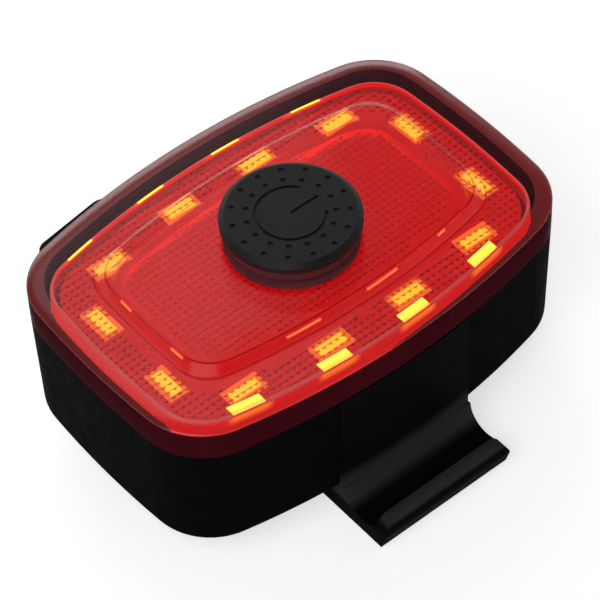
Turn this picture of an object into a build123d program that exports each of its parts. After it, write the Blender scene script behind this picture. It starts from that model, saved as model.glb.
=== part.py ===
from build123d import *
from math import atan2, cos, degrees, radians, sin, sqrt
import os

os.makedirs("parts", exist_ok=True)

# Millimetres. X runs along the long side, Y across it, +Z out of the lens.
# The light lies on the underside of its strap base, at Z = 0.

# How far a cutting shape runs past what it cuts
cut_margin = 2.0

# Outline of the body seen from the front: four bulged sides and round corners
half_length = 34.0
half_width = 23.4
long_side_radius = 118.0
short_side_radius = 150.0
corner_radius = 10.0
island_corner_radius = 5.2

# Strap base with its two hooks and arms
base_half_span = 11.2
base_height = 4.8
hook_reach = 8.2
hook_undercut = 0.8
hook_bulge_height = 2.6
hook_lip_height = 4.8
hook_lip_width = 2.15
hook_lip_corner = 2.6
hook_tip_round = 1.5
groove_radius = 3.4
groove_floor = 2.2
arm_proud = 0.15
arm_thickness = 0.95
arm_top_gap = 0.2
arm_root_depth = 0.5
slot_gap = 0.05
post_radius = 14.0
pad_thickness = 1.3
saddle_crown = 1.0
pad_lift = 0.2
pad_groove_count = 5
pad_groove_depth = 0.35
pad_groove_width = 0.9
pad_groove_pitch = 3.8
base_screw_x = 7.6
base_screw_y = 16.4

# Rear housing
housing_height = 18.4
housing_taper = 0.35
housing_edge_fillet = 1.5
housing_wall = 1.8
housing_floor = 1.6
ledge_inset = 4.9
ledge_thickness = 1.4
seam_groove_inset = 0.85
seam_groove_width = 0.6
seam_groove_depth = 0.9
gasket_thickness = 0.3
gasket_rim = 0.2

# Smoked front cover
cover_height = 5.0
cover_wall = 1.5
cover_roof = 1.3
cover_edge_fillet = 0.5
seam_side_gap = 0.05
island_foot_inset = 8.1
island_slope = 1.25
island_rise = 1.3
island_roof = 1.0
collar_radius = 9.1
collar_wall = 0.9
collar_height = 1.95

# Prism lens under the cover
prism_inset = 2.95
prism_wall = 1.0
prism_drop = 1.77
prism_roof = 0.8
prism_edge_fillet = 0.5
prism_bead = 0.12
prism_bead_height = 0.25
prism_island_inset = 9.6
prism_island_slope = 0.9
prism_island_rise = 1.37
prism_island_roof = 1.0
prism_stem_hole = 2.6

# Button on the collar
disc_radius = 9.65
disc_chamfer_width = 0.75
disc_chamfer_height = 0.5
disc_roof = 0.6
disc_skirt = 0.4
skirt_overlap = 0.1
button_travel = 0.5
button_stop_gap = 0.1
guide_clearance = 0.15
guide_wall = 1.0
guide_depth = 2.3
stem_radius = 2.2
rib_width = 1.0
rib_depth = 1.9
dimple_radius = 0.4
dimple_depth = 0.2
dimple_count = 15
dimple_ring_radii = (7.95, 6.02)
power_ring_radius = 4.75
power_ring_width = 0.45
power_gap_half_angle = 38.0
power_mark_depth = 0.25

# Main board, LEDs and switch
board_thickness = 1.2
board_inset = 5.1
board_screw_inset = 7.8
led_length = 5.7
led_width = 3.0
led_height = 0.8
led_rim = 0.35
led_window_depth = 0.12
led_lens_gap = 0.83
led_inner_x = 6.6
led_outer_x = 19.9
led_long_side_inset = 7.3
led_short_side_inset = 7.0
led_short_side_y = 6.9
mask_inset = 4.2
mask_thickness = 0.9
mask_pocket_gap = 0.25
switch_size = 6.0
switch_height = 1.9
switch_corner = 0.5
switch_rivet_radius = 0.35
switch_rivet_rise = 0.15
switch_rivet_pitch = 4.6
plunger_radius = 1.5
plunger_rise = 0.75
plunger_depth = 0.8
contact_gap = 0.03
running_clearance = 0.05

# Charging port and its rubber flap, on the far long wall near the -X end
port_arm_gap = 0.7
port_width = 9.6
port_height = 4.2
flap_width = 11.0
flap_height = 6.3
flap_corner = 2.0
flap_recess = 0.8
flap_proud = 0.35
flap_gap = 0.15
flap_seat_gap = 0.07
flap_top_margin = 0.2
flap_lip_width = 13.6
flap_lip_reach = 4.0
flap_lip_height = 1.0
flap_plug_width = 8.4
flap_plug_height = 2.8
flap_plug_depth = 1.2
anchor_width = 8.6
anchor_height = 1.5
anchor_peg_radius = 0.6
anchor_peg_pitch = 5.0
shell_width = 8.94
shell_height = 3.2
shell_length = 7.3
shell_wall = 0.3
shell_back = 0.4
shell_setback = 2.2
shell_overhang = 0.6
tongue_width = 6.7
tongue_thickness = 0.7
tongue_length = 5.0
port_board_thickness = 1.0
port_board_length = 10.0
port_boss_radius = 1.5
port_boss_pitch = 12.0
port_board_width = port_boss_pitch + 2 * port_boss_radius
port_boss_depth = 9.4
link_pin_count = 4
link_pin_pitch = 2.0
link_pin_size = 0.6
link_pin_edge = 1.0
link_hole_radius = 0.45

# Battery and its wiring
cell_length = 32.0
cell_width = 24.0
cell_thickness = 6.0
cell_boss_gap = 0.4
cell_edge_radius = 1.6
cell_pad_length = 26.0
cell_pad_width = 18.0
cell_pad_thickness = 0.6
lead_radius = 0.45
lead_pitch = 2.4
lead_bend = 2.6
lead_reach = 3.1
lead_drop = 1.4
plug_length = 4.2
plug_width = 6.0
plug_height = 2.4
header_margin = 0.4
header_height = 2.4

# Screws
screw_shank_radius = 0.95
screw_head_radius = 1.7
screw_head_height = 0.7
screw_slot_width = 0.4
screw_slot_depth = 0.3
screw_length = 8.0
screw_tip_room = 0.4
screw_hole_gap = 0.2
screw_sink = 0.3
screw_head_gap = 0.3
boss_radius = 2.3
base_boss_height = 4.0
port_screw_shank_radius = 0.7
port_screw_head_radius = 1.2
port_screw_length = 4.5

# Small electronic parts under the board
chip_length = 5.0
chip_width = 4.4
chip_height = 1.4
coil_size = 4.0
coil_height = 2.2
coil_corner = 0.6
small_chamfer = 0.2
chip_cap_length = 1.6
chip_cap_width = 0.9
chip_cap_height = 0.7
chip_cap_pitch = 2.6
chip_cap_columns = 5
chip_cap_rows = 3
chip_caps_x = 4.5
control_chip_x = 0.0
coil_x = 9.5
chips_y = -8.0

# Heights and places that follow from the sizes above
floor_top = base_height + housing_floor
housing_top = base_height + housing_height
cover_top = housing_top + cover_height
cover_ceiling = cover_top - cover_roof
island_top = cover_top + island_rise
island_ceiling = island_top - island_roof
collar_top = island_top + collar_height
prism_top = cover_top - prism_drop
prism_ceiling = prism_top - prism_roof
prism_island_top = prism_top + prism_island_rise
led_top = prism_ceiling - led_lens_gap
board_top = led_top - led_height
board_bottom = board_top - board_thickness
skirt_bottom = collar_top - skirt_overlap
disc_ceiling = collar_top + button_travel + button_stop_gap
disc_top = disc_ceiling + disc_roof
guide_radius = collar_radius - collar_wall - guide_clearance
switch_top = board_top + switch_height
plunger_top = switch_top + plunger_rise
ledge_bottom = housing_top - ledge_thickness
seam_floor = housing_top - seam_groove_depth
arm_top = housing_top - arm_top_gap
saddle_apex = base_height - saddle_crown
saddle_radius = post_radius + pad_thickness
saddle_centre_z = saddle_apex - saddle_radius
arm_face_y = half_width + arm_proud
hook_tip_y = half_width + hook_reach
groove_centre_y = arm_face_y + groove_radius
groove_centre_z = groove_floor + groove_radius
flap_top = seam_floor - flap_top_margin
flap_bottom = flap_top - flap_height
port_x = -(base_half_span + port_arm_gap + flap_width / 2)
port_z = flap_bottom + flap_height / 2
port_board_top = port_z - shell_height / 2
port_board_bottom = port_board_top - port_board_thickness
cell_bottom = floor_top + cell_pad_thickness
board_screw_x = half_length - board_screw_inset
board_screw_y = half_width - board_screw_inset
cell_x = board_screw_x - boss_radius - cell_boss_gap - cell_length / 2
cell_end_x = cell_x - cell_length / 2
lead_rise_x = cell_end_x - lead_reach
lead_z = cell_bottom + cell_thickness - lead_drop
header_bottom = board_bottom - header_height
plug_bottom = header_bottom - plug_height
base_screw_seat = screw_head_height + screw_sink
base_screw_tip = base_screw_seat + screw_length
port_board_out = -shell_setback - shell_overhang
port_board_in = port_board_out - port_board_length


def side_y(x, inset=0.0):
    """Y of the long wall at x, set in from the outline."""
    return half_width - long_side_radius + sqrt((long_side_radius - inset) ** 2 - x**2)


def side_x(y, inset=0.0):
    """X of the short wall at y, set in from the outline."""
    return half_length - short_side_radius + sqrt((short_side_radius - inset) ** 2 - y**2)


def outline(inset, corner=None):
    """The body's outline, set in by a distance, with the matching or a given corner radius."""
    if corner is None:
        corner = corner_radius - inset
    long_radius = long_side_radius - inset
    short_radius = short_side_radius - inset
    long_centre = Vector(0, half_width - long_side_radius)
    short_centre = Vector(half_length - short_side_radius, 0)
    # the corner's centre lies where both side arcs, drawn in by its radius, cross
    between = short_centre - long_centre
    reach = long_radius - corner
    along = (reach**2 - (short_radius - corner) ** 2 + between.length**2) / (2 * between.length)
    across = sqrt(reach**2 - along**2)
    unit = between.normalized()
    centre = long_centre + unit * along + Vector(unit.Y, -unit.X) * across
    long_half = degrees(atan2(centre.X, centre.Y - long_centre.Y))
    short_half = degrees(atan2(centre.Y, centre.X - short_centre.X))
    sweep = 90 - long_half - short_half
    with BuildSketch() as shape:
        with BuildLine():
            CenterArc((short_centre.X, 0), short_radius, -short_half, 2 * short_half)
            CenterArc((centre.X, centre.Y), corner, short_half, sweep)
            CenterArc((0, long_centre.Y), long_radius, 90 - long_half, 2 * long_half)
            CenterArc((-centre.X, centre.Y), corner, 90 + long_half, sweep)
            CenterArc((-short_centre.X, 0), short_radius, 180 - short_half, 2 * short_half)
            CenterArc((-centre.X, -centre.Y), corner, 180 + short_half, sweep)
            CenterArc((0, -long_centre.Y), long_radius, 270 - long_half, 2 * long_half)
            CenterArc((centre.X, -centre.Y), corner, 270 + long_half, sweep)
        make_face()
    return shape.sketch


def save(piece, name):
    """Label a finished piece and write it as its own STEP file."""
    piece.part.label = name
    export_step(piece.part, f"parts/{name}.step")


def led_places():
    """Centre and turn of each LED, following the outline all round."""
    places = []
    for x in (-led_outer_x, -led_inner_x, led_inner_x, led_outer_x):
        places.append((x, side_y(x, led_long_side_inset), 0))
        places.append((x, -side_y(x, led_long_side_inset), 0))
    for y in (-led_short_side_y, led_short_side_y):
        places.append((side_x(y, led_short_side_inset), y, 90))
        places.append((-side_x(y, led_short_side_inset), y, 90))
    return [Location((x, y, 0), (0, 0, turn)) for x, y, turn in places]


board_screw_places = [
    (-board_screw_x, 0), (board_screw_x, 0), (0, -board_screw_y), (0, board_screw_y)
]
base_screw_places = [
    (x, y) for x in (-base_screw_x, base_screw_x) for y in (-base_screw_y, base_screw_y)
]

# The port's own plane: X along the wall, Y outward, Z up
port_slope = -port_x / (long_side_radius - half_width + side_y(port_x))
port_tangent = Vector(1, port_slope, 0).normalized()
port_plane = Plane(origin=(port_x, side_y(port_x), 0), x_dir=port_tangent, z_dir=(0, 0, 1))
port_outward = Axis(port_plane.origin, port_plane.y_dir)


def port_box(width, y_low, y_high, z_low, z_high, mode=Mode.ADD):
    """A box in the port's plane, centred on the port."""
    place = port_plane * Location(((0, (y_low + y_high) / 2, (z_low + z_high) / 2)))
    with Locations(place):
        return Box(width, y_high - y_low, z_high - z_low, mode=mode)


def port_point(x, y):
    """A point of the port's plane, given along and out from the wall."""
    return port_plane.from_local_coords(Vector(x, y, 0))


port_boss_places = [
    port_point(x, -port_boss_depth) for x in (-port_boss_pitch / 2, port_boss_pitch / 2)
]

# Rear housing: an open tub with a ledge for the lens, bosses, arm slots and the port
with BuildPart() as rear_housing:
    with BuildSketch(Plane.XY.offset(base_height)):
        add(outline(housing_taper))
    with BuildSketch(Plane.XY.offset(housing_top)):
        add(outline(0))
    loft(ruled=True)
    fillet(rear_housing.edges().group_by(Axis.Z)[0], housing_edge_fillet)
    with BuildSketch(Plane.XY.offset(floor_top)):
        add(outline(housing_wall))
    extrude(amount=ledge_bottom - floor_top, mode=Mode.SUBTRACT)
    with BuildSketch(Plane.XY.offset(ledge_bottom)):
        add(outline(ledge_inset))
    extrude(amount=ledge_thickness, mode=Mode.SUBTRACT)
    with BuildSketch(Plane.XY.offset(seam_floor)):
        add(outline(seam_groove_inset))
        add(outline(seam_groove_inset + seam_groove_width), mode=Mode.SUBTRACT)
    extrude(amount=seam_groove_depth, mode=Mode.SUBTRACT)
    # bosses for the board's screws, the base's screws and the port board's screws
    with BuildSketch(Plane.XY.offset(floor_top)):
        with Locations(board_screw_places):
            Circle(boss_radius)
    extrude(amount=board_bottom - floor_top)
    with BuildSketch(Plane.XY.offset(floor_top)):
        with Locations(base_screw_places):
            Circle(boss_radius)
    extrude(amount=base_boss_height)
    with BuildSketch(Plane.XY.offset(floor_top)):
        with Locations(port_boss_places):
            Circle(port_boss_radius)
    extrude(amount=port_board_bottom - floor_top)
    with Locations([(x, y, board_bottom) for x, y in board_screw_places]):
        Hole(screw_shank_radius, depth=screw_length - board_thickness + screw_tip_room)
    with Locations([Location((x, y, base_height), (180, 0, 0)) for x, y in base_screw_places]):
        Hole(screw_shank_radius, depth=base_screw_tip + screw_tip_room - base_height)
    with Locations([(p.X, p.Y, port_board_bottom) for p in port_boss_places]):
        Hole(port_screw_shank_radius, depth=port_screw_length)
    # slots in the long walls for the strap base's arms
    with BuildSketch(Plane.XY.offset(base_height)):
        add(outline(-cut_margin))
        add(outline(arm_thickness - arm_proud + slot_gap), mode=Mode.SUBTRACT)
        Rectangle(
            2 * (base_half_span + slot_gap), 2 * (half_width + cut_margin), mode=Mode.INTERSECT
        )
    extrude(amount=arm_top + slot_gap - base_height, mode=Mode.SUBTRACT)
    # recess for the rubber flap, and the port's opening and peg holes behind it
    port_box(
        flap_width + 2 * flap_gap, -flap_recess, cut_margin,
        flap_bottom - anchor_height - flap_gap, flap_top + flap_gap, mode=Mode.SUBTRACT,
    )
    port_box(
        port_width, -housing_wall - cut_margin, 0,
        port_z - port_height / 2, port_z + port_height / 2,
        mode=Mode.SUBTRACT,
    )
    for x in (-anchor_peg_pitch / 2, anchor_peg_pitch / 2):
        peg_place = port_plane * Location((x, 0, flap_bottom - anchor_height / 2), (90, 0, 0))
        with Locations(peg_place):
            Cylinder(anchor_peg_radius, 2 * (housing_wall + cut_margin), mode=Mode.SUBTRACT)
save(rear_housing, "rear_housing")

# Strap base: a saddle block across the back with a hook at each end and arms up the walls
with BuildPart() as strap_base:
    with BuildSketch(Plane.YZ.offset(-base_half_span)) as hook_profile:
        with BuildLine():
            Polyline(
                (0, 0), (hook_tip_y - hook_undercut, 0),
                (hook_tip_y, hook_bulge_height), (hook_tip_y, hook_lip_height),
                (groove_centre_y, hook_lip_height),
                (groove_centre_y, groove_centre_z), (arm_face_y, groove_centre_z),
                (arm_face_y - arm_thickness, groove_centre_z), (arm_face_y - arm_thickness, base_height),
                (0, base_height), (0, 0),
            )
        make_face()
        with Locations((groove_centre_y, groove_centre_z)):
            Circle(groove_radius, mode=Mode.SUBTRACT)
        with Locations((hook_tip_y, hook_lip_height)):
            Rectangle(
                hook_lip_width, hook_lip_height - hook_bulge_height, align=(Align.MAX, Align.MAX)
            )
        fillet(hook_profile.vertices().group_by(Axis.X)[-1], hook_tip_round)
    extrude(amount=2 * base_half_span)
    with BuildSketch(Plane.XY.offset(base_height - arm_root_depth)):
        add(outline(-arm_proud))
        add(outline(arm_thickness - arm_proud), mode=Mode.SUBTRACT)
        with Locations((0, half_width)):
            Rectangle(2 * base_half_span, 2 * half_width, mode=Mode.INTERSECT)
    extrude(amount=arm_top - base_height + arm_root_depth)
    # rounded upper corners of the hook, seen from its end
    with BuildSketch(Plane.XZ.offset(-(hook_tip_y + cut_margin))):
        with Locations((0, hook_lip_height)):
            Rectangle(2 * (base_half_span + cut_margin), 2 * hook_lip_corner)
        with Locations((0, hook_lip_height - hook_lip_corner * 2)):
            RectangleRounded(
                2 * base_half_span, 4 * hook_lip_corner, hook_lip_corner, mode=Mode.SUBTRACT
            )
    extrude(amount=hook_tip_y + cut_margin - groove_centre_y, mode=Mode.SUBTRACT)
    mirror(about=Plane.XZ)
    with Locations(Location((0, 0, saddle_centre_z), (0, 90, 0))):
        Cylinder(saddle_radius, 2 * (base_half_span + cut_margin), mode=Mode.SUBTRACT)
    with Locations([Location((x, y, 0), (180, 0, 0)) for x, y in base_screw_places]):
        CounterBoreHole(
            screw_shank_radius + screw_hole_gap, screw_head_radius + screw_head_gap,
            base_screw_seat, depth=base_height + screw_tip_room,
        )
save(strap_base, "strap_base")

# Rubber pad that lines the saddle, with grip grooves across it
with BuildPart() as seatpost_pad:
    with BuildSketch(Plane.YZ.offset(-base_half_span)):
        with Locations((0, saddle_centre_z)):
            Circle(saddle_radius)
            Circle(post_radius, mode=Mode.SUBTRACT)
        with Locations((0, pad_lift + base_height / 2)):
            Rectangle(4 * base_half_span, base_height, mode=Mode.INTERSECT)
    extrude(amount=2 * base_half_span)
    groove_span = (pad_groove_count - 1) / 2 * pad_groove_pitch
    for index in range(pad_groove_count):
        groove_x = index * pad_groove_pitch - groove_span
        with Locations(Location((groove_x, 0, saddle_centre_z), (0, 90, 0))):
            Cylinder(post_radius + pad_groove_depth, pad_groove_width, mode=Mode.SUBTRACT)
save(seatpost_pad, "seatpost_pad")

# Smoked front cover: wall, flat ring, raised island and the button's collar
with BuildPart() as front_cover:
    with BuildSketch(Plane.XY.offset(housing_top)):
        add(outline(0))
    extrude(amount=cover_height)
    fillet(front_cover.edges().group_by(Axis.Z)[-1], cover_edge_fillet)
    with BuildSketch(Plane.XY.offset(cover_top)):
        add(outline(island_foot_inset, island_corner_radius))
    with BuildSketch(Plane.XY.offset(island_top)):
        add(outline(island_foot_inset + island_slope, island_corner_radius))
    loft(ruled=True)
    with BuildSketch(Plane.XY.offset(housing_top)):
        add(outline(cover_wall))
    extrude(amount=cover_ceiling - housing_top, mode=Mode.SUBTRACT)
    with BuildSketch(Plane.XY.offset(cover_ceiling)):
        add(outline(island_foot_inset + island_roof, island_corner_radius))
    with BuildSketch(Plane.XY.offset(island_ceiling)):
        add(outline(island_foot_inset + island_slope + island_roof, island_corner_radius))
    loft(ruled=True, mode=Mode.SUBTRACT)
    with BuildSketch(Plane.XY.offset(island_top)):
        Circle(collar_radius)
    extrude(amount=collar_height)
    with BuildSketch(Plane.XY.offset(collar_top)):
        Circle(collar_radius - collar_wall)
    extrude(amount=cover_ceiling - collar_top, mode=Mode.SUBTRACT)
    with BuildSketch(Plane.XY.offset(seam_floor + gasket_thickness)):
        add(outline(seam_groove_inset + seam_side_gap))
        add(outline(seam_groove_inset + seam_groove_width - seam_side_gap), mode=Mode.SUBTRACT)
    extrude(amount=seam_groove_depth - gasket_thickness)
save(front_cover, "front_cover")

# Sealing cord in the seam's groove, under the cover's tongue
with BuildPart() as cover_gasket:
    with BuildSketch(Plane.XY.offset(seam_floor)):
        add(outline(seam_groove_inset))
        add(outline(seam_groove_inset + seam_groove_width), mode=Mode.SUBTRACT)
    extrude(amount=gasket_thickness)
save(cover_gasket, "cover_gasket")

# Prism lens: the red inner lens that stands on the housing's ledge
with BuildPart() as prism_lens:
    with BuildSketch(Plane.XY.offset(housing_top)):
        add(outline(prism_inset))
    extrude(amount=prism_top - housing_top)
    fillet(prism_lens.edges().group_by(Axis.Z)[-1], prism_edge_fillet)
    with BuildSketch(Plane.XY.offset(housing_top)):
        add(outline(prism_inset - prism_bead))
    extrude(amount=prism_bead_height)
    with BuildSketch(Plane.XY.offset(prism_top)):
        add(outline(prism_island_inset, island_corner_radius))
    with BuildSketch(Plane.XY.offset(prism_island_top)):
        add(outline(prism_island_inset + prism_island_slope, island_corner_radius))
    loft(ruled=True)
    with BuildSketch(Plane.XY.offset(housing_top)):
        add(outline(prism_inset + prism_wall))
    extrude(amount=prism_ceiling - housing_top, mode=Mode.SUBTRACT)
    with BuildSketch(Plane.XY.offset(prism_ceiling)):
        add(outline(prism_island_inset + prism_island_slope + prism_wall, island_corner_radius))
    extrude(amount=prism_island_top - prism_island_roof - prism_ceiling, mode=Mode.SUBTRACT)
    with BuildSketch(Plane.XY.offset(prism_ceiling)):
        Circle(prism_stem_hole)
    extrude(amount=prism_island_top - prism_ceiling, mode=Mode.SUBTRACT)
save(prism_lens, "prism_lens")

# Sealing ring between prism lens and cover, round the button
with BuildPart() as button_gasket:
    with BuildSketch(Plane.XY.offset(prism_island_top)):
        Circle(collar_radius + gasket_rim)
        Circle(collar_radius - collar_wall, mode=Mode.SUBTRACT)
    extrude(amount=island_ceiling - prism_island_top)
save(button_gasket, "button_gasket")

# Button cap: a chamfered disc with a skirt over the collar, dimples and a power mark
with BuildPart() as button_cap:
    with BuildSketch(Plane.XY.offset(skirt_bottom)):
        Circle(disc_radius)
    extrude(amount=disc_top - skirt_bottom)
    chamfer(
        button_cap.edges().group_by(Axis.Z)[-1], disc_chamfer_height, disc_chamfer_width,
        reference=button_cap.faces().filter_by(GeomType.CYLINDER)[0],
    )
    with BuildSketch(Plane.XY.offset(skirt_bottom)):
        Circle(disc_radius - disc_skirt)
    extrude(amount=disc_ceiling - skirt_bottom, mode=Mode.SUBTRACT)
    for ring_radius in dimple_ring_radii:
        with BuildSketch(Plane.XY.offset(disc_top)):
            with PolarLocations(ring_radius, dimple_count, start_angle=180):
                Circle(dimple_radius)
        extrude(amount=-dimple_depth, mode=Mode.SUBTRACT)
    with BuildSketch(Plane.XY.offset(disc_top)):
        with BuildLine():
            CenterArc(
                (0, 0), power_ring_radius, power_gap_half_angle, 360 - 2 * power_gap_half_angle
            )
            offset(amount=power_ring_width / 2, side=Side.BOTH)
        make_face()
        with Locations((power_ring_radius / 2, 0)):
            SlotOverall(power_ring_radius, power_ring_width)
    extrude(amount=-power_mark_depth, mode=Mode.SUBTRACT)
save(button_cap, "button_cap")

# Button stem: carrier under the cap with a guide ring in the collar and a centre pin
with BuildPart() as button_stem:
    with BuildSketch(Plane.XY.offset(disc_ceiling)):
        Circle(guide_radius)
    extrude(amount=-guide_depth)
    with BuildSketch(Plane.XY.offset(disc_ceiling - guide_wall)):
        Circle(guide_radius - guide_wall)
    extrude(amount=-guide_depth, mode=Mode.SUBTRACT)
    with BuildSketch(Plane.XY.offset(disc_ceiling)):
        Circle(stem_radius)
    extrude(amount=plunger_top + contact_gap - disc_ceiling)
    with BuildSketch(Plane.XY.offset(disc_ceiling)):
        with PolarLocations(guide_radius / 2, 4):
            Rectangle(guide_radius - guide_wall, rib_width)
    extrude(amount=-rib_depth)
save(button_stem, "button_stem")

# Main board
with BuildPart() as main_board:
    with BuildSketch(Plane.XY.offset(board_bottom)):
        add(outline(board_inset))
        with Locations(board_screw_places):
            Circle(screw_shank_radius + screw_hole_gap, mode=Mode.SUBTRACT)
        for index in range(link_pin_count):
            pin_x = (index - (link_pin_count - 1) / 2) * link_pin_pitch
            pin = port_point(pin_x, port_board_in + link_pin_edge)
            with Locations((pin.X, pin.Y)):
                Circle(link_hole_radius, mode=Mode.SUBTRACT)
    extrude(amount=board_thickness)
save(main_board, "main_board")

# Twelve LED packages in a ring, each a rimmed block with a shallow window
with BuildPart() as leds:
    with BuildSketch(Plane.XY.offset(board_top)):
        with Locations(led_places()):
            Rectangle(led_length, led_width)
    extrude(amount=led_height)
    with BuildSketch(Plane.XY.offset(led_top)):
        with Locations(led_places()):
            RectangleRounded(led_length - 2 * led_rim, led_width - 2 * led_rim, led_rim)
    extrude(amount=-led_window_depth, mode=Mode.SUBTRACT)
save(leds, "leds")

# White mask plate over the board, with a pocket for each LED, each screw and the switch
with BuildPart() as led_mask:
    with BuildSketch(Plane.XY.offset(board_top)):
        add(outline(mask_inset))
        Rectangle(
            switch_size + 2 * mask_pocket_gap, switch_size + 2 * mask_pocket_gap,
            mode=Mode.SUBTRACT,
        )
        with Locations(led_places()):
            Rectangle(
                led_length + 2 * mask_pocket_gap, led_width + 2 * mask_pocket_gap,
                mode=Mode.SUBTRACT,
            )
        with Locations(board_screw_places):
            Circle(screw_head_radius + mask_pocket_gap, mode=Mode.SUBTRACT)
    extrude(amount=mask_thickness)
save(led_mask, "led_mask")

# Push switch on the board, with a well for its plunger
with BuildPart() as switch_body:
    with BuildSketch(Plane.XY.offset(board_top)):
        RectangleRounded(switch_size, switch_size, switch_corner)
    extrude(amount=switch_height)
    with BuildSketch(Plane.XY.offset(switch_top)):
        Circle(plunger_radius + running_clearance)
    extrude(amount=-(plunger_depth + button_travel + button_stop_gap), mode=Mode.SUBTRACT)
    with BuildSketch(Plane.XY.offset(switch_top)):
        with GridLocations(switch_rivet_pitch, switch_rivet_pitch, 2, 2):
            Circle(switch_rivet_radius)
    extrude(amount=switch_rivet_rise)
save(switch_body, "switch_body")

with BuildPart() as switch_plunger:
    with BuildSketch(Plane.XY.offset(switch_top - plunger_depth)):
        Circle(plunger_radius)
    extrude(amount=plunger_depth + plunger_rise)
    chamfer(switch_plunger.edges().group_by(Axis.Z)[-1], small_chamfer)
save(switch_plunger, "switch_plunger")


def slotted_screws(places, shank_radius, head_radius, length, up):
    """Pan-head screws with a slot, heads at the given places, pointing up or down."""
    turn = (0, 0, 0) if up else (180, 0, 0)
    with BuildPart() as screws:
        with Locations([Location(place, turn) for place in places]):
            Cylinder(shank_radius, length, align=(Align.CENTER, Align.CENTER, Align.MAX))
            Cylinder(
                head_radius, screw_head_height, align=(Align.CENTER, Align.CENTER, Align.MIN)
            )
        with Locations([Location(place, turn) for place in places]):
            with Locations((0, 0, screw_head_height)):
                Box(
                    2 * head_radius, screw_slot_width, 2 * screw_slot_depth, mode=Mode.SUBTRACT
                )
    return screws


board_screws = slotted_screws(
    [(x, y, board_top) for x, y in board_screw_places],
    screw_shank_radius, screw_head_radius, screw_length, True,
)
save(board_screws, "board_screws")

base_screws = slotted_screws(
    [(x, y, base_screw_seat) for x, y in base_screw_places],
    screw_shank_radius, screw_head_radius, screw_length, False,
)
save(base_screws, "base_screws")

# Port board under the main board, carrying the charging socket
with BuildPart() as port_board:
    port_box(port_board_width, port_board_in, port_board_out, port_board_bottom, port_board_top)
    with Locations([(p.X, p.Y, port_board_top) for p in port_boss_places]):
        Hole(port_screw_shank_radius + screw_hole_gap)
save(port_board, "port_board")

port_screws = slotted_screws(
    [(p.X, p.Y, port_board_top) for p in port_boss_places],
    port_screw_shank_radius, port_screw_head_radius, port_screw_length, True,
)
save(port_screws, "port_board_screws")

# Charging socket: a metal shell with a closed back and its plastic tongue
shell_mouth = -shell_setback
with BuildPart() as usb_shell:
    with BuildSketch(port_plane * Plane.XZ.offset(-shell_mouth)):
        with Locations((0, port_z)):
            SlotOverall(shell_width, shell_height)
    extrude(amount=shell_length)
    with BuildSketch(port_plane * Plane.XZ.offset(-shell_mouth)):
        with Locations((0, port_z)):
            SlotOverall(shell_width - 2 * shell_wall, shell_height - 2 * shell_wall)
    extrude(amount=shell_length - shell_back, mode=Mode.SUBTRACT)
save(usb_shell, "usb_shell")

with BuildPart() as usb_tongue:
    tongue_back = shell_mouth - shell_length + shell_back
    port_box(
        tongue_width, tongue_back, tongue_back + tongue_length,
        port_z - tongue_thickness / 2, port_z + tongue_thickness / 2,
    )
save(usb_tongue, "usb_tongue")

# Pins that link the port board to the main board
with BuildPart() as link_pins:
    for index in range(link_pin_count):
        pin_x = (index - (link_pin_count - 1) / 2) * link_pin_pitch
        pin = port_point(pin_x, port_board_in + link_pin_edge)
        with Locations((pin.X, pin.Y, (port_board_top + board_top) / 2)):
            Box(link_pin_size, link_pin_size, board_top - port_board_top)
save(link_pins, "link_pins")

# Rubber flap over the port: plate, pull lip and plug
with BuildPart() as usb_cover:
    port_box(flap_width, -flap_recess + flap_seat_gap, flap_proud, flap_bottom, flap_top)
    port_box(
        flap_lip_width, flap_proud, flap_proud + flap_lip_reach,
        flap_top - flap_lip_height, flap_top,
    )
    fillet(usb_cover.edges().filter_by(Axis.Z).group_by(port_outward)[-1], flap_corner)
    port_box(
        flap_plug_width, -flap_recess - flap_plug_depth, 0,
        port_z - flap_plug_height / 2, port_z + flap_plug_height / 2,
    )
save(usb_cover, "usb_cover")

# The flap's fixed root, pegged into the wall under it
anchor_top = flap_bottom - flap_seat_gap
with BuildPart() as usb_cover_anchor:
    port_box(
        anchor_width, -flap_recess, flap_proud, anchor_top - anchor_height + flap_gap, anchor_top
    )
    for x in (-anchor_peg_pitch / 2, anchor_peg_pitch / 2):
        peg_y = -flap_recess - housing_wall / 2
        peg_place = port_plane * Location((x, peg_y, flap_bottom - anchor_height / 2), (90, 0, 0))
        with Locations(peg_place):
            Cylinder(anchor_peg_radius, housing_wall)
save(usb_cover_anchor, "usb_cover_anchor")

# Battery cell on its foam pad
with BuildPart() as battery_cell:
    with Locations((cell_x, 0, cell_bottom + cell_thickness / 2)):
        Box(cell_length, cell_width, cell_thickness)
    fillet(battery_cell.edges().filter_by(Axis.Y), cell_edge_radius)
save(battery_cell, "battery_cell")

with BuildPart() as battery_pad:
    with Locations((cell_x, 0, floor_top + cell_pad_thickness / 2)):
        Box(cell_pad_length, cell_pad_width, cell_pad_thickness)
save(battery_pad, "battery_pad")

# Two leads from the cell's end up to the plug
with BuildPart() as battery_leads:
    for lead_y in (-lead_pitch / 2, lead_pitch / 2):
        with BuildLine() as route:
            FilletPolyline(
                (cell_end_x, lead_y, lead_z), (lead_rise_x, lead_y, lead_z),
                (lead_rise_x, lead_y, plug_bottom), radius=lead_bend,
            )
        with BuildSketch(Plane((cell_end_x, lead_y, lead_z), z_dir=(-1, 0, 0))):
            Circle(lead_radius)
        sweep(path=route.line)
save(battery_leads, "battery_leads")

with BuildPart() as battery_plug:
    with Locations((lead_rise_x, 0, plug_bottom + plug_height / 2)):
        Box(plug_length, plug_width, plug_height)
    chamfer(battery_plug.edges().filter_by(Axis.Z), small_chamfer)
save(battery_plug, "battery_plug")

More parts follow.
